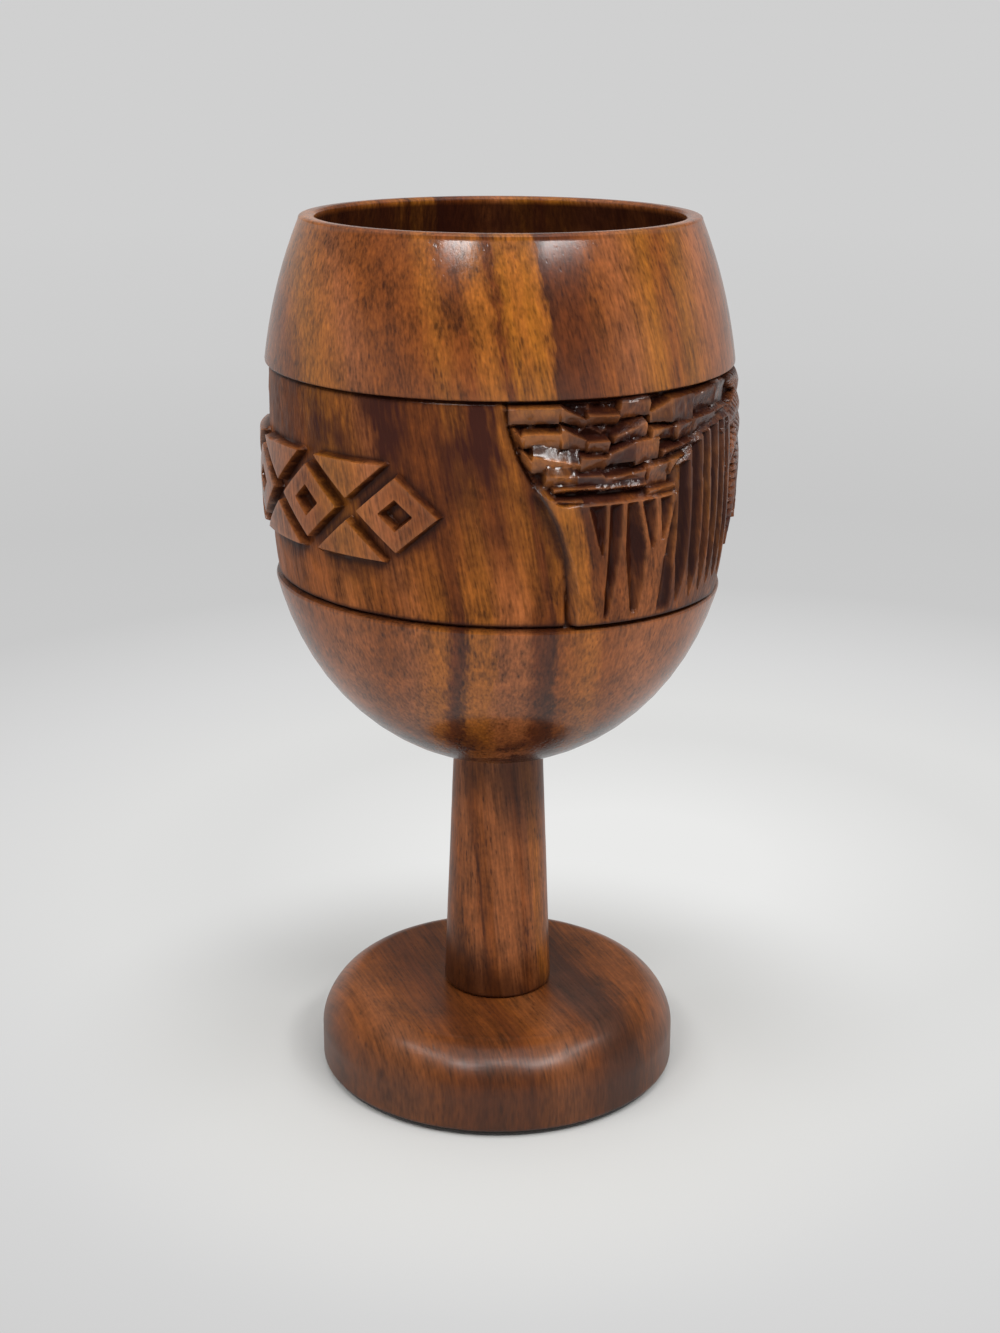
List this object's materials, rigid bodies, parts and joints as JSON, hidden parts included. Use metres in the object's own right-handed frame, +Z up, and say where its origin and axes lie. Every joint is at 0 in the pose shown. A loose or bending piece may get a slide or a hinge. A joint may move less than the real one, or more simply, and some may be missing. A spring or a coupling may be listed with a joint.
{
  "type": "carved wooden goblet",
  "caption": "Turned wooden goblet: an egg-shaped cup with a raised geometric frieze and a carved grove of trees round it, on a tapered stem and a round felted foot.",
  "frame": {"origin": "centre of the felt pad's underside, where the goblet stands", "axes": "+Z up along the turning axis; -Y faces the viewer of the picture; the middle of the carved grove is 104.5 degrees round from -Y towards +X and the middle of the frieze is opposite it"},
  "size_m": [0.1002, 0.0997, 0.19],
  "materials": {
    "carved_wood": "monkeypod-like hardwood, brown with gold and dark streaks, stained dark in the cuts, satin lacquer",
    "stem_wood": "the same hardwood with its grain along the stem, satin lacquer",
    "foot_wood": "the same hardwood, a darker piece, satin lacquer",
    "felt": "thin dark wool felt, glued on"
  },
  "bodies": {
    "root": {"bowl": "carved_wood", "stem": "stem_wood", "foot": "foot_wood", "felt_pad": "felt"}
  },
  "joints": []
}
